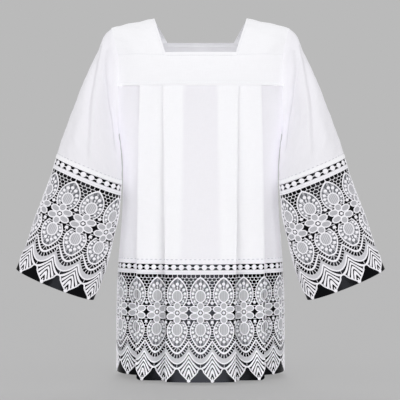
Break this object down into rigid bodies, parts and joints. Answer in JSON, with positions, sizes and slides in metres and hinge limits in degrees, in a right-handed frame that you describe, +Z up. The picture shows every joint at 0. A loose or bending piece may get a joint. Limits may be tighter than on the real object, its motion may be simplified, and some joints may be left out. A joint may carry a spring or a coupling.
{
  "type": "surplice",
  "caption": "Hollow worn surplice: square-necked yoke, knife-pleated body, wide sleeves, and lace over a black lining at the hem and cuffs.",
  "frame": {"origin": "midway between the two points where the neck meets the shoulder ridges", "axes": "+Z up, -Y to the garment's front, +X to the wearer's left sleeve"},
  "size_m": [0.8878, 0.2802, 0.8822],
  "materials": {
    "white_cotton": "plain-woven white cotton blend, pressed, with a faint sheen",
    "white_lace": "white corded guipure lace with open ground, satin-stitched ovals and petals",
    "black_lining": "plain black lining cloth with a soft satin sheen"
  },
  "bodies": {
    "root": {"yoke_front": "white_cotton", "yoke_back": "white_cotton", "shoulder_right": "white_cotton", "shoulder_left": "white_cotton", "panel_front": "white_cotton", "panel_back": "white_cotton", "sleeve_right": "white_cotton", "sleeve_left": "white_cotton", "hem_lace_front": "white_lace", "hem_lace_back": "white_lace", "sleeve_lace_right": "white_lace", "sleeve_lace_left": "white_lace", "hem_lining_front": "black_lining", "hem_lining_back": "black_lining", "sleeve_lining_right": "black_lining", "sleeve_lining_left": "black_lining"}
  },
  "joints": []
}
